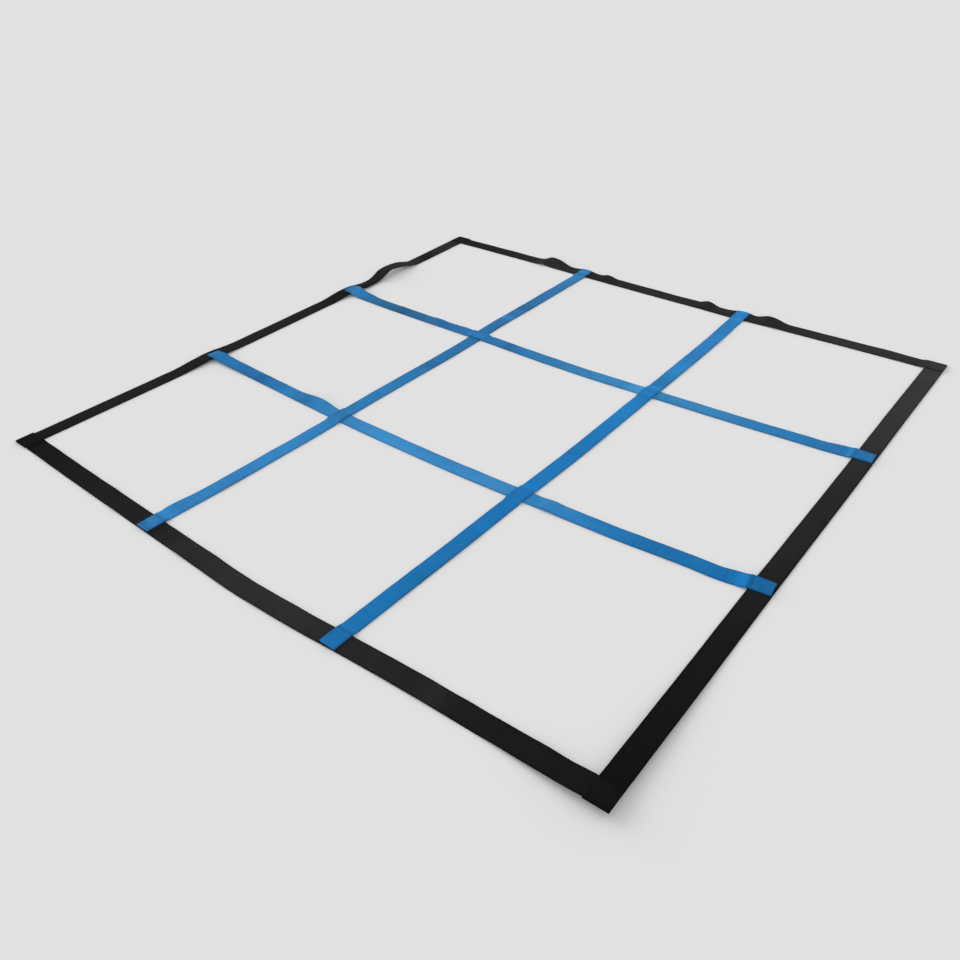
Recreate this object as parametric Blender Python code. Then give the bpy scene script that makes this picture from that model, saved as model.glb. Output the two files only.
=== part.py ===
"""Agility grid: a flat training grid of nine squares, made of webbing straps sewn together.

Metres, +Z up. The grid lies flat on the XY plane, centred on the origin. Four black straps make
the border, four blue straps divide it in three both ways, and a boxed cross seam holds each
place where two straps meet. For storage the left third and the right third turn over onto the
middle one, about two fold lines that run along Y, so every strap along X is in three pieces.
"""

import math

import bmesh
import bpy
from mathutils import Matrix, Vector

# ---- driving dimensions ----
SIDE = 1.500            # outer width of the grid along X
BORDER_W = 0.040        # width of the black webbing
DIVIDER_W = 0.035       # width of the blue webbing
THICK = 0.0020          # thickness of both
GAP = 0.0003            # clearance kept where two pieces lie on each other
RISE = THICK + GAP      # how much higher a strap lies where it passes over another
MARGIN = 0.003          # flat run on each side of the strap passed over
RAMP = 0.012            # length of the slope down to the floor
END_INSET = 0.002       # a divider's end stops this far inside the border's outer edge

BORDER_X = SIDE / 2 - BORDER_W / 2     # centre lines of the left and right border straps
NEAR_Y, NEAR_BOW = -0.7230, -0.0245    # ends of the near border strap, and how far its middle bows
FAR_Y, FAR_TILT, FAR_BOW = 0.7420, -0.0060, -0.0090
CROSS_NEAR_Y, CROSS_NEAR_BOW = -0.2345, -0.0225
CROSS_FAR_Y, CROSS_FAR_TILT, CROSS_FAR_BOW = 0.2505, 0.0035, -0.0170
LONG_LEFT_X, LONG_LEFT_BOW = -0.2525, 0.0025
LONG_RIGHT_X, LONG_RIGHT_BOW = 0.2425, 0.0075

WAVE_Y, WAVE_HALF, WAVE_H = 0.4200, 0.0850, 0.0160   # the left strap stands up in one wave here

FOLD_X = 0.290          # fold lines of the left and right thirds
FOLD_CUT = 0.0010       # width of the cut that stands in for the crease
FOLD_Z_LEFT = 0.0105    # height of the left fold's axis
FOLD_Z_RIGHT = 0.0180   # the right third folds over the left one, so its axis is higher

THREAD_W = 0.0012       # width of a seam's stitch line
THREAD_T = 0.0005       # height of a seam's stitch line
LEG = 0.0010            # side of the square leg of thread that goes through both straps
CORNER_SEAM = 0.032     # outer size of the seam at a border corner
DIVIDER_SEAM = 0.027    # outer size of the seams on a divider
SEAM_BASE = 0.0002      # underside of a seam, sunk in the lower strap's groove
SEAM_TOP = 2 * THICK + 2 * GAP + THREAD_T

STEP = 0.050            # spacing of the stations along a strap


def material(name, colour, roughness):
    mat = bpy.data.materials.new(name)
    mat.use_nodes = True
    shader = mat.node_tree.nodes["Principled BSDF"]
    shader.inputs["Base Color"].default_value = (*colour, 1.0)
    shader.inputs["Roughness"].default_value = roughness
    shader.inputs["Metallic"].default_value = 0.0
    mat.diffuse_color = (*colour, 1.0)
    return mat


# ---- centre lines in plan ----
def bow(t, depth):
    """Sideways offset of a strap at t from -1 to 1 along it: nothing at its ends, depth in its middle."""
    return depth * 0.5 * (1.0 + math.cos(math.pi * t))


def near_y(x):
    return NEAR_Y + bow(2 * x / SIDE, NEAR_BOW)


def far_y(x):
    t = 2 * x / SIDE
    return FAR_Y + FAR_TILT * t + bow(t, FAR_BOW)


def cross_near_y(x):
    return CROSS_NEAR_Y + bow(2 * x / SIDE, CROSS_NEAR_BOW)


def cross_far_y(x):
    t = 2 * x / SIDE
    return CROSS_FAR_Y + CROSS_FAR_TILT * t + bow(t, CROSS_FAR_BOW)


def left_x(y):
    return -BORDER_X


def right_x(y):
    return BORDER_X


def long_left_x(y):
    return LONG_LEFT_X + bow(2 * y / SIDE, LONG_LEFT_BOW)


def long_right_x(y):
    return LONG_RIGHT_X + bow(2 * y / SIDE, LONG_RIGHT_BOW)


def meeting(x_of_y, y_of_x):
    """Where the centre lines of a strap along Y and a strap along X cross."""
    x, y = x_of_y(0.0), 0.0
    for _ in range(20):
        y = y_of_x(x)
        x = x_of_y(y)
    return x, y


# ---- heights ----
def ease(t):
    t = min(max(t, 0.0), 1.0)
    return t * t * (3.0 - 2.0 * t)


def lift(s, crossings):
    """Height of a strap's underside at s. crossings holds the centre and width of each strap that it lies on."""
    height = 0.0
    for centre, width in crossings:
        beyond = abs(s - centre) - (width / 2 + MARGIN)
        height = max(height, RISE * ease(1.0 - beyond / RAMP))
    return height


def wave(y):
    t = (y - WAVE_Y) / WAVE_HALF
    return WAVE_H * 0.5 * (1.0 + math.cos(math.pi * t)) if abs(t) < 1.0 else 0.0


def stations(start, end, crossings=(), waves=()):
    """Places along a strap where its section is set: even steps, closer on each slope and wave."""
    count = max(2, round((end - start) / STEP))
    wanted = [start + (end - start) * i / count for i in range(1, count)]
    for centre, width in crossings:
        for side in (-1, 1):
            wanted += [centre + side * (width / 2 + MARGIN + RAMP * i / 4) for i in range(5)]
    for centre, half in waves:
        wanted += [centre + half * i / 8 for i in range(-8, 9)]
    kept = [start]
    for s in sorted(wanted):
        if s - kept[-1] > 0.0015 and end - s > 0.0015:
            kept.append(s)
    return kept + [end]


# ---- scene ----
for obj in list(bpy.data.objects):
    bpy.data.objects.remove(obj, do_unlink=True)

parts = bpy.data.collections.new("agility_grid")
cutters = bpy.data.collections.new("agility_grid_cutters")
for collection in (parts, cutters):
    bpy.context.scene.collection.children.link(collection)

BLACK_WEBBING = material("black_webbing", (0.012, 0.012, 0.013), 0.62)
BLUE_WEBBING = material("blue_webbing", (0.022, 0.215, 0.540), 0.58)
BLACK_THREAD = material("black_thread", (0.010, 0.010, 0.011), 0.50)
BLUE_THREAD = material("blue_thread", (0.020, 0.190, 0.480), 0.50)


def fold_pivot(name, x, z):
    empty = bpy.data.objects.new(name, None)
    empty.empty_display_size = 0.05
    empty.location = (x, 0.0, z)
    parts.objects.link(empty)
    return empty


LEFT_FOLD = fold_pivot("left_fold_axis", -FOLD_X, FOLD_Z_LEFT)
RIGHT_FOLD = fold_pivot("right_fold_axis", FOLD_X, FOLD_Z_RIGHT)


def hang_on(obj, pivot, place=(0.0, 0.0, 0.0)):
    """Sets a piece at its place in the world, parented to the empty on its fold axis if it has one."""
    obj.location = place
    if pivot is not None:
        obj.parent = pivot
        obj.location = Vector(place) - pivot.location


def mesh_from(obj, name):
    """The evaluated mesh of obj in the world, with the loose caps of a curve welded. obj is removed."""
    bpy.context.view_layer.update()
    graph = bpy.context.evaluated_depsgraph_get()
    mesh = bpy.data.meshes.new_from_object(obj.evaluated_get(graph))
    mesh.name = name
    work = bmesh.new()
    work.from_mesh(mesh)
    work.transform(obj.matrix_world)
    bmesh.ops.remove_doubles(work, verts=work.verts, dist=1e-6)
    bmesh.ops.recalc_face_normals(work, faces=work.faces)
    work.to_mesh(mesh)
    work.free()
    bpy.data.objects.remove(obj, do_unlink=True)
    return mesh


# ---- straps ----
def section(width):
    """Cross section of a strap: a flat rectangle."""
    curve = bpy.data.curves.new("strap_section", "CURVE")
    curve.dimensions = "2D"
    spline = curve.splines.new("POLY")
    spline.points.add(3)
    for point, (u, v) in zip(spline.points, ((-1, -1), (1, -1), (1, 1), (-1, 1))):
        point.co = (u * width / 2, v * THICK / 2, 0.0, 1.0)
    spline.use_cyclic_u = True
    guide = bpy.data.objects.new(curve.name, curve)
    guide.hide_render = True
    guide.display_type = "WIRE"
    cutters.objects.link(guide)
    return guide


def strap(name, points, width, mat, pivot=None):
    """A strap of webbing swept along the points of the middle of its thickness, always flat side up."""
    guide = section(width)
    curve = bpy.data.curves.new(name + "_path", "CURVE")
    curve.dimensions = "3D"
    curve.twist_mode = "Z_UP"
    curve.bevel_mode = "OBJECT"
    curve.bevel_object = guide
    curve.use_fill_caps = True
    spline = curve.splines.new("POLY")
    spline.points.add(len(points) - 1)
    for point, co in zip(spline.points, points):
        point.co = (*co, 1.0)
    path = bpy.data.objects.new(name + "_path", curve)
    parts.objects.link(path)
    mesh = mesh_from(path, name)
    bpy.data.objects.remove(guide, do_unlink=True)
    mesh.materials.clear()
    mesh.materials.append(mat)
    obj = bpy.data.objects.new(name, mesh)
    parts.objects.link(obj)
    hang_on(obj, pivot)
    return obj


def strap_along_x(name, y_of_x, start, end, width, mat, crossings, pivot=None):
    points = [(x, y_of_x(x), lift(x, crossings) + THICK / 2) for x in stations(start, end, crossings)]
    return strap(name, points, width, mat, pivot)


def strap_along_y(name, x_of_y, start, end, width, mat, crossings=(), pivot=None, waved=False):
    waves = ((WAVE_Y, WAVE_HALF),) if waved else ()
    points = []
    for y in stations(start, end, crossings, waves):
        height = lift(y, crossings) + (wave(y) if waved else 0.0)
        points.append((x_of_y(y), y, height + THICK / 2))
    return strap(name, points, width, mat, pivot)


def three_along_x(name, y_of_x, reach, width, mat, crossings):
    """A strap along X in the three pieces that its two folds make of it."""
    cut = FOLD_CUT / 2
    runs = (
        ("left", -reach, -FOLD_X - cut, LEFT_FOLD),
        ("middle", -FOLD_X + cut, FOLD_X - cut, None),
        ("right", FOLD_X + cut, reach, RIGHT_FOLD),
    )
    return {
        side: strap_along_x(f"{name}_{side}", y_of_x, start, end, width, mat, crossings, pivot)
        for side, start, end, pivot in runs
    }


A_NEAR = meeting(long_left_x, near_y)
A_FAR = meeting(long_left_x, far_y)
A_CROSS_NEAR = meeting(long_left_x, cross_near_y)
A_CROSS_FAR = meeting(long_left_x, cross_far_y)
B_NEAR = meeting(long_right_x, near_y)
B_FAR = meeting(long_right_x, far_y)
B_CROSS_NEAR = meeting(long_right_x, cross_near_y)
B_CROSS_FAR = meeting(long_right_x, cross_far_y)

OVER_SIDES = [(-BORDER_X, BORDER_W), (BORDER_X, BORDER_W)]
DIVIDER_REACH = SIDE / 2 - END_INSET

near_border = three_along_x("near_border", near_y, SIDE / 2, BORDER_W, BLACK_WEBBING, OVER_SIDES)
far_border = three_along_x("far_border", far_y, SIDE / 2, BORDER_W, BLACK_WEBBING, OVER_SIDES)
near_divider = three_along_x(
    "near_divider", cross_near_y, DIVIDER_REACH, DIVIDER_W, BLUE_WEBBING, OVER_SIDES
)
far_divider = three_along_x(
    "far_divider", cross_far_y, DIVIDER_REACH, DIVIDER_W, BLUE_WEBBING,
    OVER_SIDES + [(A_CROSS_FAR[0], DIVIDER_W)],
)

left_border = strap_along_y(
    "left_border", left_x, near_y(-BORDER_X) - BORDER_W / 2, far_y(-BORDER_X) + BORDER_W / 2,
    BORDER_W, BLACK_WEBBING, pivot=LEFT_FOLD, waved=True,
)
right_border = strap_along_y(
    "right_border", right_x, near_y(BORDER_X) - BORDER_W / 2, far_y(BORDER_X) + BORDER_W / 2,
    BORDER_W, BLACK_WEBBING, pivot=RIGHT_FOLD,
)
left_divider = strap_along_y(
    "left_divider", long_left_x,
    A_NEAR[1] - BORDER_W / 2 + END_INSET, A_FAR[1] + BORDER_W / 2 - END_INSET,
    DIVIDER_W, BLUE_WEBBING,
    [(A_NEAR[1], BORDER_W), (A_FAR[1], BORDER_W), (A_CROSS_NEAR[1], DIVIDER_W)],
)
right_divider = strap_along_y(
    "right_divider", long_right_x,
    B_NEAR[1] - BORDER_W / 2 + END_INSET, B_FAR[1] + BORDER_W / 2 - END_INSET,
    DIVIDER_W, BLUE_WEBBING,
    [(B_NEAR[1], BORDER_W), (B_FAR[1], BORDER_W),
     (B_CROSS_NEAR[1], DIVIDER_W), (B_CROSS_FAR[1], DIVIDER_W)],
)


# ---- seams ----
def stitch_line(name, size, bar, bottom, top):
    """A box with a cross in it, seen from above: a square outline with four triangular holes."""
    half, inner, skew = size / 2, size / 2 - bar, bar * math.sqrt(0.5)
    loops = [[(-half, -half), (half, -half), (half, half), (-half, half)]]
    for turn in range(4):
        c, s = (1, 0, -1, 0)[turn], (0, 1, 0, -1)[turn]
        triangle = ((0.0, skew), (inner - skew, inner), (skew - inner, inner))
        loops.append([(c * x - s * y, s * x + c * y) for x, y in triangle])
    curve = bpy.data.curves.new(name, "CURVE")
    curve.dimensions = "2D"
    curve.fill_mode = "BOTH"
    curve.extrude = (top - bottom) / 2
    for loop in loops:
        spline = curve.splines.new("POLY")
        spline.points.add(len(loop) - 1)
        for point, (x, y) in zip(spline.points, loop):
            point.co = (x, y, 0.0, 1.0)
        spline.use_cyclic_u = True
    obj = bpy.data.objects.new(name, curve)
    obj.location = (0.0, 0.0, (bottom + top) / 2)
    parts.objects.link(obj)
    return mesh_from(obj, name)


def legs(name, size, bar, side, bottom, top):
    """The square legs at the corners and the middle of a stitch line."""
    reach = size / 2 - bar / 2
    work = bmesh.new()
    for x, y in ((-reach, -reach), (reach, -reach), (reach, reach), (-reach, reach), (0.0, 0.0)):
        place = Matrix.Translation((x, y, (bottom + top) / 2))
        bmesh.ops.create_cube(work, size=1.0, matrix=place @ Matrix.Diagonal((side, side, top - bottom, 1.0)))
    mesh = bpy.data.meshes.new(name)
    work.to_mesh(mesh)
    work.free()
    return mesh


def union(name, meshes):
    """One closed mesh from meshes that overlap."""
    objects = []
    for mesh in meshes:
        obj = bpy.data.objects.new(mesh.name, mesh)
        parts.objects.link(obj)
        objects.append(obj)
    for other in objects[1:]:
        modifier = objects[0].modifiers.new("join", "BOOLEAN")
        modifier.operation = "UNION"
        modifier.object = other
    joined = mesh_from(objects[0], name)
    for other in objects[1:]:
        bpy.data.objects.remove(other, do_unlink=True)
    return joined


def seam_meshes(size):
    """The thread of one seam, and the cutter that makes room for it in both straps."""
    thread = union(f"seam_{size * 1000:.0f}", (
        stitch_line("top_run", size, THREAD_W, SEAM_TOP - THREAD_T, SEAM_TOP),
        stitch_line("bottom_run", size, THREAD_W, SEAM_BASE, SEAM_BASE + THREAD_T),
        legs("legs", size, THREAD_W, LEG, SEAM_BASE + THREAD_T / 2, SEAM_TOP - THREAD_T / 2),
    ))
    room = THREAD_W + 2 * GAP
    cutter = union(f"seam_room_{size * 1000:.0f}", (
        stitch_line("groove", size + 2 * GAP, room, -0.001, SEAM_BASE + THREAD_T + GAP),
        legs("holes", size + 2 * GAP, room, LEG + 2 * GAP, -0.0005, SEAM_TOP + 0.001),
    ))
    return thread, cutter


SEAM_MESHES = {size: seam_meshes(size) for size in (CORNER_SEAM, DIVIDER_SEAM)}


def seam(name, place, angle, size, mat, straps, pivot=None):
    """A boxed cross seam at a place in plan, turned to follow the upper strap."""
    thread, room = SEAM_MESHES[size]
    obj = bpy.data.objects.new(name, thread)
    parts.objects.link(obj)
    obj.rotation_euler = (0.0, 0.0, angle)
    hang_on(obj, pivot, (*place, 0.0))
    if not thread.materials:
        thread.materials.append(mat)
    obj.material_slots[0].link = "OBJECT"
    obj.material_slots[0].material = mat
    cutter = bpy.data.objects.new(name + "_room", room)
    cutter.hide_render = True
    cutter.display_type = "WIRE"
    cutters.objects.link(cutter)
    cutter.rotation_euler = (0.0, 0.0, angle)
    hang_on(cutter, pivot, (*place, 0.0))
    for target in straps:
        modifier = target.modifiers.new(name, "BOOLEAN")
        modifier.operation = "DIFFERENCE"
        modifier.object = cutter
    return obj


def slope_x(y_of_x, x):
    return math.atan2(y_of_x(x + 0.005) - y_of_x(x - 0.005), 0.01)


def slope_y(x_of_y, y):
    return -math.atan2(x_of_y(y + 0.005) - x_of_y(y - 0.005), 0.01)


def corner(name, x, y_of_x, straps, pivot):
    seam(name, (x, y_of_x(x)), slope_x(y_of_x, x), CORNER_SEAM, BLACK_THREAD, straps, pivot)


corner("near_left_corner_seam", -BORDER_X, near_y, (left_border, near_border["left"]), LEFT_FOLD)
corner("far_left_corner_seam", -BORDER_X, far_y, (left_border, far_border["left"]), LEFT_FOLD)
corner("near_right_corner_seam", BORDER_X, near_y, (right_border, near_border["right"]), RIGHT_FOLD)
corner("far_right_corner_seam", BORDER_X, far_y, (right_border, far_border["right"]), RIGHT_FOLD)

for label, y_of_x, pieces in (
    ("near_divider", cross_near_y, near_divider),
    ("far_divider", cross_far_y, far_divider),
):
    for side, x, border, pivot in (
        ("left", -BORDER_X, left_border, LEFT_FOLD),
        ("right", BORDER_X, right_border, RIGHT_FOLD),
    ):
        seam(f"{label}_{side}_seam", (x, y_of_x(x)), slope_x(y_of_x, x),
             DIVIDER_SEAM, BLUE_THREAD, (border, pieces[side]), pivot)

for label, x_of_y, upper, near_place, far_place in (
    ("left_divider", long_left_x, left_divider, A_NEAR, A_FAR),
    ("right_divider", long_right_x, right_divider, B_NEAR, B_FAR),
):
    for side, place, border in (
        ("near", near_place, near_border["middle"]),
        ("far", far_place, far_border["middle"]),
    ):
        seam(f"{label}_{side}_seam", place, slope_y(x_of_y, place[1]),
             DIVIDER_SEAM, BLUE_THREAD, (border, upper))

seam("near_left_crossing_seam", A_CROSS_NEAR, slope_y(long_left_x, A_CROSS_NEAR[1]),
     DIVIDER_SEAM, BLUE_THREAD, (near_divider["middle"], left_divider))
seam("far_left_crossing_seam", A_CROSS_FAR, slope_x(cross_far_y, A_CROSS_FAR[0]),
     DIVIDER_SEAM, BLUE_THREAD, (left_divider, far_divider["middle"]))
seam("near_right_crossing_seam", B_CROSS_NEAR, slope_y(long_right_x, B_CROSS_NEAR[1]),
     DIVIDER_SEAM, BLUE_THREAD, (near_divider["middle"], right_divider))
seam("far_right_crossing_seam", B_CROSS_FAR, slope_y(long_right_x, B_CROSS_FAR[1]),
     DIVIDER_SEAM, BLUE_THREAD, (far_divider["middle"], right_divider))
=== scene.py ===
import math

import bpy
import numpy as np
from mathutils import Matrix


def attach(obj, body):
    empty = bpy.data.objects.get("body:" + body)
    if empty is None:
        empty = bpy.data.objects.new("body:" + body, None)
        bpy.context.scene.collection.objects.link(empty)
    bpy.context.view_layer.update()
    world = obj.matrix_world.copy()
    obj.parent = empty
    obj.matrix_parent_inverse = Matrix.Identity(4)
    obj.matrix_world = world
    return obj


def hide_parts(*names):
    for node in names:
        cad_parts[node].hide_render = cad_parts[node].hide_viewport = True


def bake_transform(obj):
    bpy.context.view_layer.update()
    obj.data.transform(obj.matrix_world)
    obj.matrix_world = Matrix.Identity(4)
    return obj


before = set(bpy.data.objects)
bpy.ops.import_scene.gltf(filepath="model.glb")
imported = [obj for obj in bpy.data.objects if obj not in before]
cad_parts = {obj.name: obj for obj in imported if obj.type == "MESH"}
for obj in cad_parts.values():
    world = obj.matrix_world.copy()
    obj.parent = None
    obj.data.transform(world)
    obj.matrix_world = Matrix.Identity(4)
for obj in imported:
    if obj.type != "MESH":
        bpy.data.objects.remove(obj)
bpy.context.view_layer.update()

# ---- sizes, in metres, as the frame has them ----
SIDE = 1.500
BORDER_W = 0.040
BORDER_WIDE = 0.0414        # the near and right straps came out a little wider
DIVIDER_W = 0.035
THICK = 0.0020
GAP = 0.0003
RISE = THICK + GAP          # a strap that lies on another is this much higher
STITCH_LIFT = 0.0005        # the thread under a seam holds the lower strap off the floor
BORDER_X = SIDE / 2 - BORDER_W / 2
MARGIN = 0.0025             # a strap stays level this far past the one it lies on
RAMP = 0.0125               # and comes down over this length
FOLD_X = 0.290
LEFT_LOOP = 0.014           # the length past each fold line that bends into the loop, the right one higher
RIGHT_LOOP = 0.022
CORNER_SEAM = 0.032
DIVIDER_SEAM = 0.027
THREAD_R = 0.00038
STITCH = 0.0036


def ease(t):
    t = np.clip(t, 0.0, 1.0)
    return t * t * (3.0 - 2.0 * t)


def smooth(*points):
    """A smooth function through a few (place, value) points, straight on past its ends."""
    x = np.array([p[0] for p in points], float)
    y = np.array([p[1] for p in points], float)
    step = np.diff(x)
    rate = np.diff(y) / step
    slope = np.empty_like(y)
    slope[1:-1] = (rate[:-1] * step[1:] + rate[1:] * step[:-1]) / (step[:-1] + step[1:])
    slope[0], slope[-1] = rate[0], rate[-1]

    def value(s):
        s = np.asarray(s, float)
        inside = np.clip(s, x[0], x[-1])
        i = np.clip(np.searchsorted(x, inside) - 1, 0, len(x) - 2)
        h = step[i]
        t = (inside - x[i]) / h
        curve = (
            (2 * t**3 - 3 * t**2 + 1) * y[i]
            + (t**3 - 2 * t**2 + t) * h * slope[i]
            + (3 * t**2 - 2 * t**3) * y[i + 1]
            + (t**3 - t**2) * h * slope[i + 1]
        )
        return curve + np.where(s < x[0], (s - x[0]) * slope[0], 0) + np.where(s > x[-1], (s - x[-1]) * slope[-1], 0)

    return value


# ---- where the whole grid stands off the floor: (x, y, reach in x, reach in y, height) ----
LIFTS = (
    (0.770, -0.765, 0.260, 0.420, 0.0100),     # the near right corner
    (-0.735, 0.232, 0.085, 0.085, 0.0068),     # where the far divider meets the left border
    (-0.712, 0.275, 0.050, 0.060, 0.0050),
    (-0.715, -0.250, 0.180, 0.100, 0.0055),    # where the near divider meets the left border
    (0.700, -0.205, 0.060, 0.050, 0.0020),     # where the near divider meets the right border
    (0.245, 0.762, 0.055, 0.040, 0.0070),      # the outer edge of the far border, at the ends of the long dividers
    (-0.252, 0.765, 0.050, 0.040, 0.0038),
)


def lift_at(x, y):
    z = np.zeros(np.broadcast(x, y).shape)
    for cx, cy, rx, ry, height in LIFTS:
        z = z + height * ease(1.0 - np.hypot((x - cx) / rx, (y - cy) / ry))
    return z


def bump(at, before, after, height, side=0, level=0.0, skew=0.0):
    """A place where a strap stands up: it rises over the length before, stays level, and comes down over the length after.
    side 0 raises the whole width, 1 or -1 only the edge on that side. skew moves the place along, from edge to edge."""
    return at, before, after, height, side, level, skew


class Strap:
    """A length of webbing that lies along X or Y. s is the place along it, and u the place across it, 0 in the middle.
    over holds the straps it lies on and under those that lie on it. wave holds the heights of its two edges, u below 0
    first, where it stands up in a wave. fade is painted sheen: how much lighter or darker the webbing is drawn along
    it, in place of the sheen and reflection that change along it with the light. pale tells how pale its colour is
    along it.
    marks are short stretches drawn darker or lighter: painted shade in the creases where it bends down off a strap,
    painted light on the slope past them, painted sheen patches and other darker or lighter stretches: (place, length
    before it, length after it, share)."""

    def __init__(self, along, centre, width, bumps=(), wave=None, ripple=0.0, seed=0, fade=None, pale=None, marks=()):
        self.along, self.centre, self.width = along, centre, width
        self.bumps, self.wave, self.ripple, self.marks = bumps, wave, ripple, marks
        self.fade, self.pale = fade or smooth((-1, 1), (1, 1)), pale or smooth((-1, 0.5), (1, 0.5))
        self.over, self.under = [], []
        rng = np.random.default_rng(seed)
        self.waves = [(rng.uniform(0.09, 0.26), rng.uniform(0, 2 * math.pi)) for _ in range(4)]

    def tone(self, s):
        # painted light: the painted sheen along the strap, times the painted crease shade, painted slope light, painted
        # sheen patches and other darker or lighter stretches of its marks
        value = self.fade(s)
        for at, before, after, share in self.marks:
            value = value * (1.0 + share * np.where(s < at, ease(1.0 + (s - at) / before), ease(1.0 - (s - at) / after)))
        return value

    def plan(self, s, u):
        slope = (self.centre(s + 1e-3) - self.centre(s - 1e-3)) / 2e-3
        n = np.sqrt(1.0 + slope**2)
        if self.along == "x":
            return s - u * slope / n, self.centre(s) + u / n
        return self.centre(s) + u / n, s - u * slope / n

    def beside(self, x, y):
        """How far a point in plan is past this strap's edge."""
        return np.abs(y - self.centre(x) if self.along == "x" else x - self.centre(y)) - self.width / 2

    def under_side(self, s, u):
        """Height of the underside at (s, u)."""
        x, y = self.plan(s, u)
        z = lift_at(x, y)
        ramp = RAMP + 0.035 * ease(z / 0.009)     # a strap that is off the floor comes down more gradually
        stacked, quiet = 0.0, 1.0
        for other in self.over:
            past = other.beside(x, y)
            stacked = np.maximum(stacked, RISE * ease(1.0 - (past - MARGIN) / ramp) + STITCH_LIFT * ease(1.0 - past / 0.02))
            quiet = quiet * ease((past - 0.012) / 0.05)
        for other in self.under:
            past = other.beside(x, y)
            stacked = np.maximum(stacked, STITCH_LIFT * ease(1.0 - past / 0.02))
            quiet = quiet * ease((past - 0.006) / 0.05)
        z = z + stacked
        for at, before, after, height, side, level, skew in self.bumps:
            from_top = s - at - skew * u / (self.width / 2)
            rise = height * np.where(from_top < 0, ease(1.0 + from_top / before), ease(1.0 - (from_top - level) / after))
            if side:
                rise = rise * ((1.0 + side * np.clip(u / (self.width / 2), -1, 1)) / 2) ** 1.35
            z = z + rise
        if self.wave:
            share = (1.0 + u / (self.width / 2)) / 2
            stood = np.maximum(self.wave[0](s), 0.0) * (1.0 - share) + np.maximum(self.wave[1](s), 0.0) * share
            z, quiet = z + stood, quiet * ease(1.0 - stood / 0.003)
        if self.ripple:
            (a, fa), (b, fb), (c, fc), (d, fd) = self.waves
            long = 0.5 + 0.5 * np.sin(2 * math.pi * s / a + fa) * np.sin(2 * math.pi * s / b + fb)
            roll = 0.5 * np.sin(2 * math.pi * s / c + fc) + 0.5 * np.sin(2 * math.pi * s / d + fd)
            z = z + quiet * self.ripple * long * (1.0 + 0.8 * roll * u / (self.width / 2))
        return z

    def point(self, s, u, above):
        """(x, y, z) at a height above the underside. The edge that is raised draws in, so the webbing keeps its width."""
        columns = np.linspace(0, 1, 9)[:, None] * np.ravel(u)[None, :]
        heights = self.under_side(np.broadcast_to(np.ravel(s), columns.shape), columns)
        flat = np.sqrt(np.clip(np.diff(columns, axis=0) ** 2 - np.diff(heights, axis=0) ** 2, 0, None)).sum(0)
        drawn = np.sign(np.ravel(u)) * flat
        x, y = self.plan(np.ravel(s), drawn)
        return np.stack([x, y, heights[-1] + np.ravel(above)], 1)


# ---- the straps, as the grid happened to lie ----
# painted light: each strap below is drawn lighter or darker along its length as painted sheen and reflection, and
# darker or lighter over short marks: painted shade at creases, painted light on the slopes past them, painted sheen
# patches and other stretches
left = Strap(
    "y",
    smooth((-0.77, -0.7262), (-0.70, -0.7253), (-0.50, -0.7231), (-0.33, -0.7215), (-0.15, -0.7219), (0.0, -0.7231), (0.17, -0.7248),
           (0.30, -0.7220), (0.34, -0.7222), (0.375, -0.7256), (0.41, -0.7284), (0.445, -0.7272), (0.49, -0.7242), (0.55, -0.7250),
           (0.65, -0.7275), (0.70, -0.7293), (0.76, -0.7306)),
    BORDER_W,
    wave=(
        smooth((0.310, 0), (0.328, 0), (0.346, 0.0010), (0.366, 0.0054), (0.387, 0.0124), (0.410, 0.0144), (0.440, 0.0143), (0.468, 0.0115),
               (0.495, 0.0048), (0.513, 0.0004), (0.530, 0)),
        smooth((0.280, 0), (0.295, 0), (0.315, 0.0018), (0.335, 0.0042), (0.350, 0.0062), (0.365, 0.0090), (0.378, 0.0122), (0.390, 0.0158),
               (0.402, 0.0182), (0.415, 0.0176), (0.432, 0.0158), (0.465, 0.0112), (0.485, 0.0072), (0.505, 0.0030), (0.522, 0.0003), (0.540, 0)),
    ),
    ripple=0.0003, seed=3, fade=smooth((-0.7, 0.32), (-0.5, 0.52), (-0.3, 0.50), (0.0, 0.58), (0.3, 0.46), (0.50, 0.95), (0.7, 0.98)),
    marks=((0.580, 0.060, 0.060, -0.50),),
)
right = Strap(
    "y",
    smooth((-0.77, 0.7341), (-0.60, 0.7327), (-0.50, 0.7317), (-0.40, 0.7306), (-0.15, 0.7298), (0.15, 0.7305), (0.50, 0.7298), (0.65, 0.7302),
           (0.76, 0.7300)),
    BORDER_WIDE, ripple=0.0004, seed=5, fade=smooth((-0.65, 0.30), (-0.35, 0.48), (-0.1, 0.80), (0.2, 1.05), (0.4, 1.50), (0.7, 1.80)),
)
near = Strap(
    "x",
    smooth((-0.75, -0.7240), (-0.70, -0.7240), (-0.60, -0.7280), (-0.50, -0.7318), (-0.30, -0.7384), (-0.10, -0.7446), (0.03, -0.7484),
           (0.10, -0.7468), (0.15, -0.7452), (0.30, -0.7365), (0.45, -0.7307), (0.60, -0.7284), (0.65, -0.7292), (0.75, -0.7296)),
    BORDER_WIDE, ripple=0.0010, seed=11,
    fade=smooth((-0.70, 0.25), (-0.52, 0.41), (-0.40, 0.54), (-0.20, 0.70), (0.05, 1.24), (0.30, 0.92), (0.55, 0.46), (0.70, 0.40)),
    marks=((-0.145, 0.040, 0.045, 0.22), (0.440, 0.040, 0.040, 0.35)),
)
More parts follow.
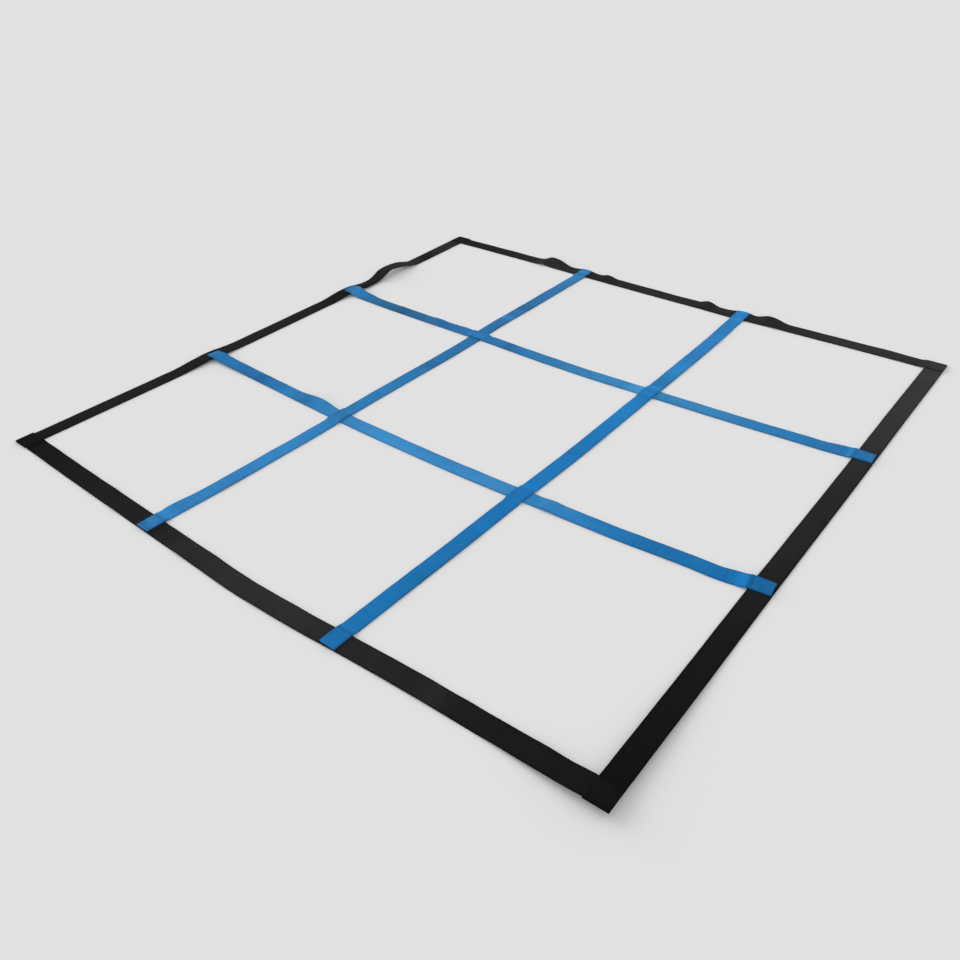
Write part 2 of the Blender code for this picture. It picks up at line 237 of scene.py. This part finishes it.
far = Strap(
    "x",
    smooth((-0.75, 0.7449), (-0.65, 0.7449), (-0.45, 0.7431), (-0.10, 0.7350), (0.05, 0.7325), (0.12, 0.7318), (0.20, 0.7292), (0.40, 0.7325),
           (0.60, 0.7342), (0.75, 0.7330)),
    BORDER_W,
    bumps=(bump(-0.366, 0.041, 0.050, 0.0140, 1, 0.008), bump(-0.392, 0.032, 0.035, 0.0049),
           bump(-0.178, 0.028, 0.034, 0.0057, 1), bump(0.140, 0.030, 0.036, 0.0084, 1), bump(0.314, 0.042, 0.050, 0.0112, 1),
           bump(0.345, 0.034, 0.034, 0.0022)),
    ripple=0.0007, seed=17, fade=smooth((-0.7, 0.60), (-0.52, 0.68), (-0.37, 1.10), (-0.2, 0.86), (0.0, 0.98), (0.2, 1.08), (0.37, 0.95), (0.52, 1.38), (0.7, 1.15)),
    marks=((0.735, 0.050, 0.050, 0.70),),
)
cross_near = Strap(
    "x",
    smooth((-0.75, -0.2340), (-0.68, -0.2345), (-0.60, -0.2363), (-0.50, -0.2405), (-0.35, -0.2480), (-0.20, -0.2542), (0.0, -0.2568),
           (0.10, -0.2567), (0.20, -0.2541), (0.30, -0.2505), (0.40, -0.2470), (0.45, -0.2451), (0.55, -0.2380), (0.60, -0.2347),
           (0.65, -0.2332), (0.69, -0.2283), (0.72, -0.2236), (0.75, -0.2200)),
    DIVIDER_W,
    bumps=(bump(-0.692, 0.030, 0.050, 0.0025, 1), bump(-0.325, 0.080, 0.060, 0.0085, 1), bump(0.315, 0.030, 0.030, 0.0022),
           bump(0.685, 0.040, 0.050, 0.0018, 1)),
    ripple=0.0007, seed=23, fade=smooth((-0.7, 0.93), (-0.5, 0.84), (-0.25, 1.10), (0.05, 1.17), (0.3, 1.08), (0.55, 0.84), (0.7, 0.82)),
    pale=smooth((-0.7, 0.2), (-0.5, 0.2), (-0.25, 0.75), (0.0, 0.8), (0.25, 0.9), (0.42, 0.3), (0.6, 0.0), (0.7, 0.0)),
    marks=((-0.703, 0.012, 0.012, -0.14), (-0.530, 0.040, 0.030, -0.22), (-0.430, 0.035, 0.030, 0.20), (-0.365, 0.030, 0.030, -0.18),
           (0.694, 0.026, 0.012, 0.40), (0.7090, 0.006, 0.006, -0.26)),
)
cross_far = Strap(
    "x",
    smooth((-0.75, 0.2470), (-0.66, 0.2465), (-0.57, 0.2433), (-0.42, 0.2402), (-0.30, 0.2394), (-0.20, 0.2390), (-0.10, 0.2348), (0.0, 0.2327),
           (0.15, 0.2334), (0.20, 0.2357), (0.30, 0.2389), (0.45, 0.2439), (0.60, 0.2516), (0.66, 0.2545), (0.70, 0.2588), (0.75, 0.2624)),
    DIVIDER_W,
    bumps=(bump(-0.690, 0.045, 0.080, 0.0080, 1), bump(-0.390, 0.035, 0.035, 0.0020), bump(-0.300, 0.030, 0.030, 0.0018),
           bump(0.690, 0.060, 0.045, 0.0032, 1)),
    ripple=0.0007, seed=29, fade=smooth((-0.7, 0.80), (-0.52, 0.64), (-0.3, 0.83), (0.05, 0.96), (0.3, 1.06), (0.7, 0.86)),
    pale=smooth((-0.7, 0.8), (-0.5, 0.45), (-0.1, 0.55), (0.05, 0.75), (0.25, 1.0), (0.4, 0.9), (0.55, 0.45), (0.7, 0.45)),
    marks=((-0.692, 0.030, 0.065, 0.42), (-0.515, 0.040, 0.050, -0.20), (-0.250, 0.070, 0.070, 0.20), (-0.145, 0.030, 0.025, -0.20),
           (0.230, 0.050, 0.012, 0.48), (0.699, 0.012, 0.008, 0.18), (0.7090, 0.006, 0.007, -0.22)),
)
long_left = Strap(
    "y",
    smooth((-0.76, -0.2560), (-0.70, -0.2558), (-0.60, -0.2516), (-0.42, -0.2483), (-0.33, -0.2475), (-0.20, -0.2493), (0.0, -0.2476),
           (0.10, -0.2461), (0.18, -0.2467), (0.30, -0.2516), (0.45, -0.2515), (0.76, -0.2527)),
    DIVIDER_W, bumps=(bump(-0.690, 0.030, 0.060, 0.0030, -1),), ripple=0.0006, seed=31,
    fade=smooth((-0.7, 1.05), (-0.2, 0.99), (0.05, 0.90), (0.5, 0.79), (0.7, 0.98)), pale=smooth((-0.7, 0.5), (0.5, 0.6), (0.7, 0.8)),
    marks=((-0.755, 0.010, 0.022, -0.25), (-0.7200, 0.006, 0.006, -0.32), (-0.704, 0.012, 0.026, 0.17),
           (0.045, 0.025, 0.050, -0.18), (0.372, 0.025, 0.020, 0.35), (0.440, 0.025, 0.045, -0.22), (0.722, 0.014, 0.014, -0.18)),
)
long_right = Strap(
    "y",
    smooth((-0.76, 0.2415), (-0.65, 0.2430), (-0.40, 0.2470), (-0.30, 0.2473), (-0.20, 0.2498), (-0.09, 0.2522), (0.11, 0.2513), (0.36, 0.2501),
           (0.50, 0.2485), (0.61, 0.2457), (0.66, 0.2431), (0.76, 0.2422)),
    DIVIDER_W, ripple=0.0006, seed=37, fade=smooth((-0.7, 0.92), (-0.2, 0.97), (0.1, 1.10), (0.7, 1.05)),
    pale=smooth((-0.7, 0.0), (0.1, 0.05), (0.35, 0.35), (0.7, 0.3)),
    marks=((-0.7190, 0.006, 0.006, -0.26), (0.300, 0.050, 0.060, -0.27), (0.700, 0.014, 0.014, 0.20), (0.745, 0.045, 0.030, 0.16)),
)

for upper, lowers in (
    (near, (left, right)),
    (far, (left, right)),
    (cross_near, (left, right)),
    (cross_far, (left, right, long_left)),
    (long_left, (near, cross_near, far)),
    (long_right, (near, cross_near, cross_far, far)),
):
    for lower in lowers:
        upper.over.append(lower)
        lower.under.append(upper)


def meeting(a, b):
    """(x, y) where the centre lines of a strap along X and a strap along Y cross."""
    along_x, along_y = (a, b) if a.along == "x" else (b, a)
    x, y = float(along_y.centre(0.0)), 0.0
    for _ in range(20):
        y = float(along_x.centre(x))
        x = float(along_y.centre(y))
    return x, y


# ---- materials ----
class Graph:
    """Short names for making shader nodes."""

    def __init__(self, name):
        self.mat = bpy.data.materials.new(name)
        self.mat.use_nodes = True
        self.tree = self.mat.node_tree
        self.shader = self.tree.nodes["Principled BSDF"]

    def node(self, kind, **settings):
        made = self.tree.nodes.new(kind)
        for key, value in settings.items():
            setattr(made, key, value)
        return made

    def link(self, value, socket):
        if isinstance(value, bpy.types.NodeSocket):
            self.tree.links.new(value, socket)
        else:
            socket.default_value = value

    def math(self, operation, *values, clamp=False):
        made = self.node("ShaderNodeMath", operation=operation, use_clamp=clamp)
        for value, socket in zip(values, made.inputs):
            self.link(value, socket)
        return made.outputs[0]

    def ramp(self, value, low, high, to_low=0.0, to_high=1.0):
        made = self.node("ShaderNodeMapRange", interpolation_type="SMOOTHSTEP")
        for v, socket in zip((value, low, high, to_low, to_high), made.inputs):
            self.link(v, socket)
        return made.outputs[0]

    def noise(self, vector, scale, detail=2.0, roughness=0.5):
        made = self.node("ShaderNodeTexNoise")
        self.link(vector, made.inputs["Vector"])
        made.inputs["Scale"].default_value = scale
        made.inputs["Detail"].default_value = detail
        made.inputs["Roughness"].default_value = roughness
        return made.outputs["Fac"]

    def vector(self, x, y, z):
        made = self.node("ShaderNodeCombineXYZ")
        for value, socket in zip((x, y, z), made.inputs):
            self.link(value, socket)
        return made.outputs[0]

    def mix(self, share, a, b, blend="MIX"):
        made = self.node("ShaderNodeMix", data_type="RGBA", blend_type=blend)
        self.link(share, made.inputs[0])
        for value, socket in ((a, made.inputs[6]), (b, made.inputs[7])):
            self.link((*value, 1.0) if isinstance(value, tuple) else value, socket)
        return made.outputs[2]


def webbing_material(name, colour, deep, width, roughness, specular, sheen):
    """Woven webbing: grains of yarn in brick order, firm selvedges drawn darker with painted shade, random unevenness
    of colour, and painted sheen and shade along the strap.
    It follows the strap by the attribute lay: metres along it, metres across it, and the strap's number."""
    g = Graph(name)
    lay = g.node("ShaderNodeAttribute", attribute_name="lay")
    split = g.node("ShaderNodeSeparateXYZ")
    g.link(lay.outputs["Vector"], split.inputs[0])
    s, u, number = split.outputs
    # painted light: the first value of this attribute is the painted sheen and shade drawn along the strap, the second
    # how pale it is
    painted_light_and_pale = g.node("ShaderNodeAttribute", attribute_name="painted_light_and_pale")
    split = g.node("ShaderNodeSeparateXYZ")
    g.link(painted_light_and_pale.outputs["Vector"], split.inputs[0])
    fade, pale = split.outputs[:2]

    # yarns: columns 1.25 mm wide, with a grain every 2.5 mm that shifts by half from column to column
    across = g.math("DIVIDE", u, 0.00125)
    column = g.math("FLOOR", across)
    odd = g.math("FLOORED_MODULO", column, 2.0)
    along = g.math("ADD", g.math("DIVIDE", s, 0.0025), g.math("MULTIPLY", odd, 0.5))
    barrel = g.math("POWER", g.math("ABSOLUTE", g.math("SINE", g.math("MULTIPLY", across, math.pi))), 0.55)
    grain = g.math("POWER", g.math("ABSOLUTE", g.math("SINE", g.math("MULTIPLY", along, math.pi))), 0.55)
    weave = g.math("MULTIPLY", barrel, grain)

    # selvedge: the last 2 mm on each side is a tighter rib. It and a groove line just inside it are drawn darker,
    # painted shade of the rounded edge and of the groove.
    edge = g.math("SUBTRACT", width / 2, g.math("ABSOLUTE", u))
    selvedge = g.ramp(edge, 0.0016, 0.0030, 1.0, 0.0)
    groove = g.math("MULTIPLY", g.ramp(edge, 0.0016, 0.0023, 0.0, 1.0), g.ramp(edge, 0.0023, 0.0032, 1.0, 0.0))

    # unevenness: slow dye variation, bars across from the weft's tension, and fine speckle from the yarn
    far_apart = g.math("MULTIPLY", number, 7.31)
    slow = g.noise(g.vector(g.math("MULTIPLY", s, 6.0), g.math("MULTIPLY", u, 12.0), far_apart), 1.0, 3.0)
    bars = g.noise(g.vector(g.math("MULTIPLY", s, 160.0), g.math("MULTIPLY", u, 6.0), far_apart), 1.0, 2.0)
    speckle = g.noise(g.vector(g.math("MULTIPLY", s, 500.0), g.math("MULTIPLY", u, 900.0), far_apart), 1.0, 1.0)
    tone = g.math("ADD", g.math("MULTIPLY", g.math("SUBTRACT", slow, 0.5), 0.50), g.math("MULTIPLY", g.math("SUBTRACT", bars, 0.5), 0.30))
    tone = g.math("ADD", tone, g.math("MULTIPLY", g.math("SUBTRACT", speckle, 0.5), 0.25))
    tone = g.math("ADD", 1.0, tone)
    shade = g.math("MULTIPLY", tone, g.math("ADD", 0.62, g.math("MULTIPLY", weave, 0.50)))
    # painted shade: the selvedge and the groove inside it drawn 20 % darker
    shade = g.math("MULTIPLY", shade, g.ramp(selvedge, 0.0, 1.0, 1.0, 0.80))
    shade = g.math("MULTIPLY", shade, g.ramp(groove, 0.0, 1.0, 1.0, 0.80))

    # painted light: the webbing drawn lighter or darker along the strap, painted sheen and reflection with painted
    # crease shade and painted slope light
    shade = g.math("MULTIPLY", shade, fade)
    paleness = g.math("ADD", pale, g.math("MULTIPLY", g.math("SUBTRACT", slow, 0.5), 0.6), clamp=True)
    tint = g.mix(paleness, deep, colour)
    made = g.node("ShaderNodeVectorMath", operation="SCALE")
    g.link(tint, made.inputs[0])
    g.link(shade, made.inputs["Scale"])
    g.link(made.outputs[0], g.shader.inputs["Base Color"])

    rough = g.math("ADD", roughness, g.math("MULTIPLY", g.math("SUBTRACT", slow, 0.5), 0.20))
    rough = g.math("SUBTRACT", rough, g.math("MULTIPLY", weave, 0.10))
    g.link(rough, g.shader.inputs["Roughness"])
    g.shader.inputs["Specular IOR Level"].default_value = specular
    g.shader.inputs["Sheen Weight"].default_value = sheen
    g.shader.inputs["Sheen Roughness"].default_value = 0.55

    height = g.math("ADD", g.math("MULTIPLY", weave, 0.00022), g.math("MULTIPLY", bars, 0.00010))
    height = g.math("ADD", height, g.math("MULTIPLY", slow, 0.0005))
    bump = g.node("ShaderNodeBump")
    bump.inputs["Strength"].default_value = 0.9
    bump.inputs["Distance"].default_value = 1.0
    g.link(height, bump.inputs["Height"])
    g.link(bump.outputs[0], g.shader.inputs["Normal"])
    return g.mat


def thread_material(name, colour, roughness, gloss):
    """Twisted sewing thread: a fine slanting ply, drawn lighter or darker with the painted sheen and shade of the strap
    it lies on.
    """
    g = Graph(name)
    lay = g.node("ShaderNodeAttribute", attribute_name="lay")
    split = g.node("ShaderNodeSeparateXYZ")
    g.link(lay.outputs["Vector"], split.inputs[0])
    s, turn, number = split.outputs
    painted_light_and_pale = g.node("ShaderNodeAttribute", attribute_name="painted_light_and_pale")
    strap_painted_light = g.node("ShaderNodeSeparateXYZ")
    g.link(painted_light_and_pale.outputs["Vector"], strap_painted_light.inputs[0])
    ply = g.math("SINE", g.math("ADD", g.math("MULTIPLY", s, 2 * math.pi / 0.0009), g.math("MULTIPLY", turn, 3.0)))
    ply = g.math("ADD", 0.5, g.math("MULTIPLY", ply, 0.5))
    fuzz = g.noise(g.vector(g.math("MULTIPLY", s, 900.0), turn, number), 1.0, 2.0)
    shade = g.math("ADD", g.math("ADD", 0.70, g.math("MULTIPLY", ply, 0.35)), g.math("MULTIPLY", g.math("SUBTRACT", fuzz, 0.5), 0.4))
    # painted light: the thread is drawn lighter or darker with the painted sheen and shade of the strap under it
    shade = g.math("MULTIPLY", shade, strap_painted_light.outputs[0])
    made = g.node("ShaderNodeVectorMath", operation="SCALE")
    made.inputs[0].default_value = colour
    g.link(shade, made.inputs["Scale"])
    g.link(made.outputs[0], g.shader.inputs["Base Color"])
    g.link(g.math("ADD", roughness, g.math("MULTIPLY", fuzz, 0.15)), g.shader.inputs["Roughness"])
    g.shader.inputs["Specular IOR Level"].default_value = gloss
    bump = g.node("ShaderNodeBump")
    bump.inputs["Strength"].default_value = 0.8
    bump.inputs["Distance"].default_value = 1.0
    g.link(g.math("MULTIPLY", ply, 0.00008), bump.inputs["Height"])
    g.link(bump.outputs[0], g.shader.inputs["Normal"])
    return g.mat


BLACK = webbing_material("black_webbing_woven", (0.0290, 0.0290, 0.0300), (0.0250, 0.0250, 0.0260), BORDER_W, 0.82, 0.012, 0.0)
BLUE = webbing_material("blue_webbing_woven", (0.044, 0.262, 0.565), (0.010, 0.215, 0.565), DIVIDER_W, 0.80, 0.06, 0.0)
BLACK_THREAD = thread_material("black_sewing_thread", (0.012, 0.012, 0.0125), 0.65, 0.08)
BLUE_THREAD = thread_material("blue_sewing_thread", (0.026, 0.225, 0.560), 0.55, 0.25)


# ---- webbing ----
EDGE = ((0.0, 0.0), (0.00025, 0.56), (0.0007, 0.86), (0.0013, 1.0), (0.0024, 0.90), (0.0040, 0.97))


def columns_of(width):
    """(u, share of the half thickness) across the strap."""
    half = width / 2
    rim = [(e - half, t) for e, t in EDGE]
    core = [(u, 1.0) for u in np.linspace(-(half - 0.004), half - 0.004, 5)[1:-1]]
    return rim + core + [(-u, t) for u, t in reversed(rim)]


def stations_of(strap, start, end):
    """Places along the strap, close together where it bends."""
    marks = []
    for other in strap.over:
        x, y = meeting(strap, other)
        at = x if strap.along == "x" else y
        reach = other.width / 2 + MARGIN + RAMP + 0.003
        marks.append((at - reach, at + reach, 0.0022))
    for at, before, after, height, side, level, skew in strap.bumps:
        marks.append((at - before - skew - 0.003, at + level + after + skew + 0.003, 0.0030))
    if strap.wave:
        marks.append((0.290, 0.540, 0.0030))
    if strap.along == "x":
        marks += [(-FOLD_X - LEFT_LOOP, -FOLD_X, 0.0010), (FOLD_X, FOLD_X + RIGHT_LOOP, 0.0010)]
    out, s = [start], start
    while True:
        step = min([fine for low, high, fine in marks if low - 0.006 <= s <= high] + [0.0065])
        s += step
        if s > end - 0.6 * step:
            break
        out.append(s)
    return np.array(out + [end])


def mesh_object(name, points, faces, materials, lay, painted_light_and_pale):
    mesh = bpy.data.meshes.new(name)
    mesh.from_pydata([tuple(p) for p in points], [], faces)
    mesh.validate()
    for label, values in (("lay", lay), ("painted_light_and_pale", painted_light_and_pale)):
        attribute = mesh.attributes.new(label, "FLOAT_VECTOR", "POINT")
        attribute.data.foreach_set("vector", np.asarray(values, np.float32).ravel())
    mesh.shade_smooth()
    for mat in materials:
        mesh.materials.append(mat)
    obj = bpy.data.objects.new(name, mesh)
    bpy.context.scene.collection.objects.link(obj)
    return obj


def webbing(name, strap, start, end, mat, number):
    """A closed length of webbing with rounded selvedges and cut ends."""
    s = stations_of(strap, start, end)
    across = columns_of(strap.width)
    k = len(across)
    loop = [(u, t) for u, t in across] + [(u, -t) for u, t in reversed(across[1:-1])]
    m = len(loop)
    u = np.array([c[0] for c in loop])
    above = THICK / 2 * (1 + np.array([c[1] for c in loop]))
    S, U = np.meshgrid(s, u, indexing="ij")
    A = np.broadcast_to(above, S.shape)
    points = strap.point(S, U, A)
    lay = np.stack([S.ravel(), U.ravel(), np.full(S.size, float(number))], 1)
    # painted light: each point carries the strap's painted sheen and shade along it, and how pale it is
    painted_light_and_pale = np.stack([strap.tone(S.ravel()), strap.pale(S.ravel()), np.zeros(S.size)], 1)
    n = len(s)
    turn = 1 if strap.along == "x" else -1
    faces = []
    for i in range(n - 1):
        for j in range(m):
            a, b = i * m + j, i * m + (j + 1) % m
            c, d = b + m, a + m
            faces.append((a, d, c, b)[::turn])
    for base, flip in ((0, turn), ((n - 1) * m, -turn)):
        for j in range(k - 1):
            top = (base + j, base + j + 1)
            low = (base + (m - j) % m, base + m - j - 1)
            if j == 0:
                ring = (top[0], top[1], low[1])
            elif j == k - 2:
                ring = (top[0], top[1], low[0])
            else:
                ring = (top[0], top[1], low[1], low[0])
            faces.append(ring[::flip])
    return mesh_object(name, points, faces, [mat], lay, painted_light_and_pale)


# ---- stitches ----
def stitch_places(low, high, size):
    """The box with a cross in it, from low to high along the strap, as runs of stitches: (middle, direction, length) in plan."""
    corners = [np.array(c, float) for c in ((low, -size / 2), (high, -size / 2), (high, size / 2), (low, size / 2))]
    runs = [(corners[i], corners[(i + 1) % 4]) for i in range(4)] + [(corners[0], corners[2]), (corners[1], corners[3])]
    places = []
    for a, b in runs:
        length = np.linalg.norm(b - a)
        count = max(2, round(length / STITCH))
        for i in range(count):
            places.append((a + (b - a) * (i + 0.5) / count, (b - a) / length, length / count))
    return places


def stitched(name, upper, lower, size, mat, number):
    """The thread of one seam: a row of stitches on the upper strap, and one under the lower strap.
    Where the upper strap ends short of the lower one's far edge, the box moves in from the cut end."""
    x0, y0 = meeting(upper, lower)
    s0 = x0 if upper.along == "x" else y0
    low, high, room = -size / 2, size / 2, lower.width / 2 - 0.003
    start, end = upper.ends[0] + 0.0025 - s0, upper.ends[1] - 0.0025 - s0
    if start > low:
        low, high = start, min(start + size, room)
    if end < high:
        low, high = max(end - size, -room), end
    rings, sides = 5, 6
    points, faces, lay, painted_light_and_pale = [], [], [], []
    for top in (True, False):
        for index, (place, direction, pitch) in enumerate(stitch_places(low, high, size)):
            t = np.linspace(-1, 1, rings)
            half = pitch * 0.46
            wander = 0.00012 * math.sin(index * 2.4 + number)
            side = np.array([-direction[1], direction[0]])
            along = place[0] + direction[0] * t * half + side[0] * wander
            across = place[1] + direction[1] * t * half + side[1] * wander
            x, y = upper.plan(s0 + along, across)
            if top:
                z = upper.under_side(s0 + along, across) + THICK + THREAD_R * (0.55 - 1.15 * t**4)
            else:
                low_s, low_u = (y, x - lower.centre(y)) if lower.along == "y" else (x, y - lower.centre(x))
                z = lower.under_side(low_s, low_u) - THREAD_R * (0.30 - 0.90 * t**4)
            middle = np.stack([x, y, z], 1)
            ahead = np.gradient(middle, axis=0)
            ahead /= np.linalg.norm(ahead, axis=1)[:, None]
            beside = np.cross(np.array([0.0, 0.0, 1.0]), ahead)
            beside /= np.linalg.norm(beside, axis=1)[:, None]
            upward = np.cross(ahead, beside)
            radius = THREAD_R * np.sqrt(np.clip(1.0 - 0.75 * t**4, 0.2, 1))
            base = len(points)
            # painted light: the thread takes the painted sheen and shade of the strap it lies on at this place
            strap_painted_light = float(upper.tone(s0 + place[0])), float(upper.pale(s0)), 0.0
            for i in range(rings):
                for j in range(sides):
                    angle = 2 * math.pi * j / sides
                    points.append(middle[i] + radius[i] * (math.cos(angle) * beside[i] + 0.85 * math.sin(angle) * upward[i]))
                    lay.append((t[i] * half, angle, number + index))
                    painted_light_and_pale.append(strap_painted_light)
            for i in range(rings - 1):
                for j in range(sides):
                    a, b = base + i * sides + j, base + i * sides + (j + 1) % sides
                    faces.append((a, b, b + sides, a + sides))
            faces.append(tuple(base + j for j in reversed(range(sides))))
            faces.append(tuple(base + (rings - 1) * sides + j for j in range(sides)))
    return mesh_object(name, points, faces, [mat], lay, painted_light_and_pale)


NEAR_SPLIT = meeting(near, long_left)[0]
FAR_SPLIT = meeting(far, long_left)[0]
CROSS_NEAR_SPLIT = meeting(cross_near, long_left)[0]
CROSS_FAR_SPLIT = meeting(cross_far, long_right)[0]


def fold_left(obj):
    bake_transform(obj)


def fold_right(obj):
    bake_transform(obj)


for label, strap, start, split, end, mat, slot, on, number in (
    ("near_border", near, -0.7455, NEAR_SPLIT, 0.7535, BLACK, "black_webbing", ["left_border_strap", "right_border_strap"], 1),
    ("far_border", far, -0.7450, FAR_SPLIT, 0.7500, BLACK, "black_webbing", ["left_border_strap", "right_border_strap"], 2),
    ("near_divider", cross_near, -0.7240, CROSS_NEAR_SPLIT, 0.7465, BLUE, "blue_webbing", ["left_border_strap", "right_border_strap"], 3),
    ("far_divider", cross_far, -0.7275, CROSS_FAR_SPLIT, 0.7468, BLUE, "blue_webbing",
     ["left_border_strap", "right_border_strap", "left_divider_strap"], 4),
):
    strap.ends = start, end
    first = webbing(f"{label}_strap_left", strap, start, split, mat, number)
    second = webbing(f"{label}_strap_right", strap, split, end, mat, number)
    if split < 0:
        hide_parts(f"{label}_left")
        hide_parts(f"{label}_middle", f"{label}_right")
    else:
        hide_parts(f"{label}_left", f"{label}_middle")
        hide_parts(f"{label}_right")
    fold_left(first)
    fold_right(second)


def end_of(strap, other, side, inset=0.0):
    x, y = meeting(strap, other)
    return y + side * (other.width / 2 - inset)


for label, strap, low, high, mat, slot, body, node, on, number in (
    ("left_border_strap", left, end_of(left, near, -1), end_of(left, far, 1), BLACK, "black_webbing", "left_panel", "left_border", (), 5),
    ("right_border_strap", right, end_of(right, near, -1), end_of(right, far, 1), BLACK, "black_webbing", "right_panel", "right_border", (), 6),
    ("left_divider_strap", long_left, end_of(long_left, near, -1, 0.002), end_of(long_left, far, 1, 0.003), BLUE, "blue_webbing", "centre",
     "left_divider", ("near_border_strap_left", "near_divider_strap_left", "far_border_strap_left"), 7),
    ("right_divider_strap", long_right, end_of(long_right, near, -1, 0.002), end_of(long_right, far, 1, 0.003), BLUE, "blue_webbing", "centre",
     "right_divider", ("near_border_strap_right", "near_divider_strap_right", "far_divider_strap_right", "far_border_strap_right"), 8),
):
    strap.ends = low, high
    obj = webbing(label, strap, low, high, mat, number)
    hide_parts(node)
    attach(obj, body)

for node, upper, lower, body, size in (
    ("near_left_corner_seam", near, left, "left_panel", CORNER_SEAM),
    ("far_left_corner_seam", far, left, "left_panel", CORNER_SEAM),
    ("near_right_corner_seam", near, right, "right_panel", CORNER_SEAM),
    ("far_right_corner_seam", far, right, "right_panel", CORNER_SEAM),
    ("near_divider_left_seam", cross_near, left, "left_panel", DIVIDER_SEAM),
    ("near_divider_right_seam", cross_near, right, "right_panel", DIVIDER_SEAM),
    ("far_divider_left_seam", cross_far, left, "left_panel", DIVIDER_SEAM),
    ("far_divider_right_seam", cross_far, right, "right_panel", DIVIDER_SEAM),
    ("left_divider_near_seam", long_left, near, "centre", DIVIDER_SEAM),
    ("left_divider_far_seam", long_left, far, "centre", DIVIDER_SEAM),
    ("right_divider_near_seam", long_right, near, "centre", DIVIDER_SEAM),
    ("right_divider_far_seam", long_right, far, "centre", DIVIDER_SEAM),
    ("near_left_crossing_seam", long_left, cross_near, "centre", DIVIDER_SEAM),
    ("far_left_crossing_seam", cross_far, long_left, "centre", DIVIDER_SEAM),
    ("near_right_crossing_seam", long_right, cross_near, "centre", DIVIDER_SEAM),
    ("far_right_crossing_seam", long_right, cross_far, "centre", DIVIDER_SEAM),
):
    corner = size == CORNER_SEAM
    obj = stitched(node.replace("seam", "stitches"), upper, lower, size, BLACK_THREAD if corner else BLUE_THREAD, sum(map(ord, node)) % 97)
    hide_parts(node)
    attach(obj, body)


# ---- floor, light and camera ----
bpy.ops.mesh.primitive_plane_add(size=80.0, location=(0.0, 0.0, 0.0))
floor = bpy.context.object
floor.name = "floor"
paper = Graph("pale_floor")
paper.shader.inputs["Base Color"].default_value = (0.80, 0.80, 0.80, 1.0)
paper.shader.inputs["Roughness"].default_value = 1.0
paper.shader.inputs["Specular IOR Level"].default_value = 0.0
floor.data.materials.append(paper.mat)

world = bpy.data.worlds.new("studio")
bpy.context.scene.world = world
world.use_nodes = True
sky = world.node_tree.nodes
sky["Background"].inputs["Color"].default_value = (1.0, 1.0, 1.0, 1.0)


def sky_math(operation, a, b):
    made = sky.new("ShaderNodeMath")
    made.operation = operation
    for value, socket in ((a, made.inputs[0]), (b, made.inputs[1])):
        if isinstance(value, bpy.types.NodeSocket):
            world.node_tree.links.new(value, socket)
        else:
            socket.default_value = value
    return made.outputs[0]


# a white tent: the walls are brighter than the top, so that light reaches in under the webbing
toward = sky.new("ShaderNodeSeparateXYZ")
world.node_tree.links.new(sky.new("ShaderNodeTexCoord").outputs["Generated"], toward.inputs[0])
low_down = sky_math("SUBTRACT", 1.0, sky_math("MULTIPLY", toward.outputs["Z"], toward.outputs["Z"]))
walls = sky_math("MULTIPLY", low_down, low_down)
brightness = sky_math("MULTIPLY", sky_math("ADD", sky_math("MULTIPLY", walls, 3.0), 1.0), 0.4054)
world.node_tree.links.new(brightness, sky["Background"].inputs["Strength"])

# the camera sees a plain backdrop in the floor's own tone
backdrop = sky.new("ShaderNodeBackground")
backdrop.inputs["Color"].default_value = (1.0, 1.0, 1.0, 1.0)
backdrop.inputs["Strength"].default_value = 0.753
either = sky.new("ShaderNodeMixShader")
world.node_tree.links.new(sky.new("ShaderNodeLightPath").outputs["Is Camera Ray"], either.inputs[0])
world.node_tree.links.new(sky["Background"].outputs[0], either.inputs[1])
world.node_tree.links.new(backdrop.outputs[0], either.inputs[2])
world.node_tree.links.new(either.outputs[0], sky["World Output"].inputs["Surface"])

key = bpy.data.lights.new("key", "SUN")
key.energy = 1.30
key.angle = math.radians(38)
key_object = bpy.data.objects.new("key", key)
bpy.context.scene.collection.objects.link(key_object)
key_object.rotation_euler = (math.radians(-5.0), math.radians(-71.0), 0.0)

view = bpy.context.scene.view_settings
view.view_transform = "Standard"
view.look = "None"

lens = bpy.data.cameras.new("camera")
lens.sensor_width = 36.0
lens.lens = 33.288
lens.clip_start, lens.clip_end = 0.05, 200.0
camera = bpy.data.objects.new("camera", lens)
bpy.context.scene.collection.objects.link(camera)
camera.location = (1.0696, -1.3661, 1.0165)
camera.rotation_euler = (math.radians(54.7234), math.radians(1.5440), math.radians(38.5304))
bpy.context.scene.camera = camera
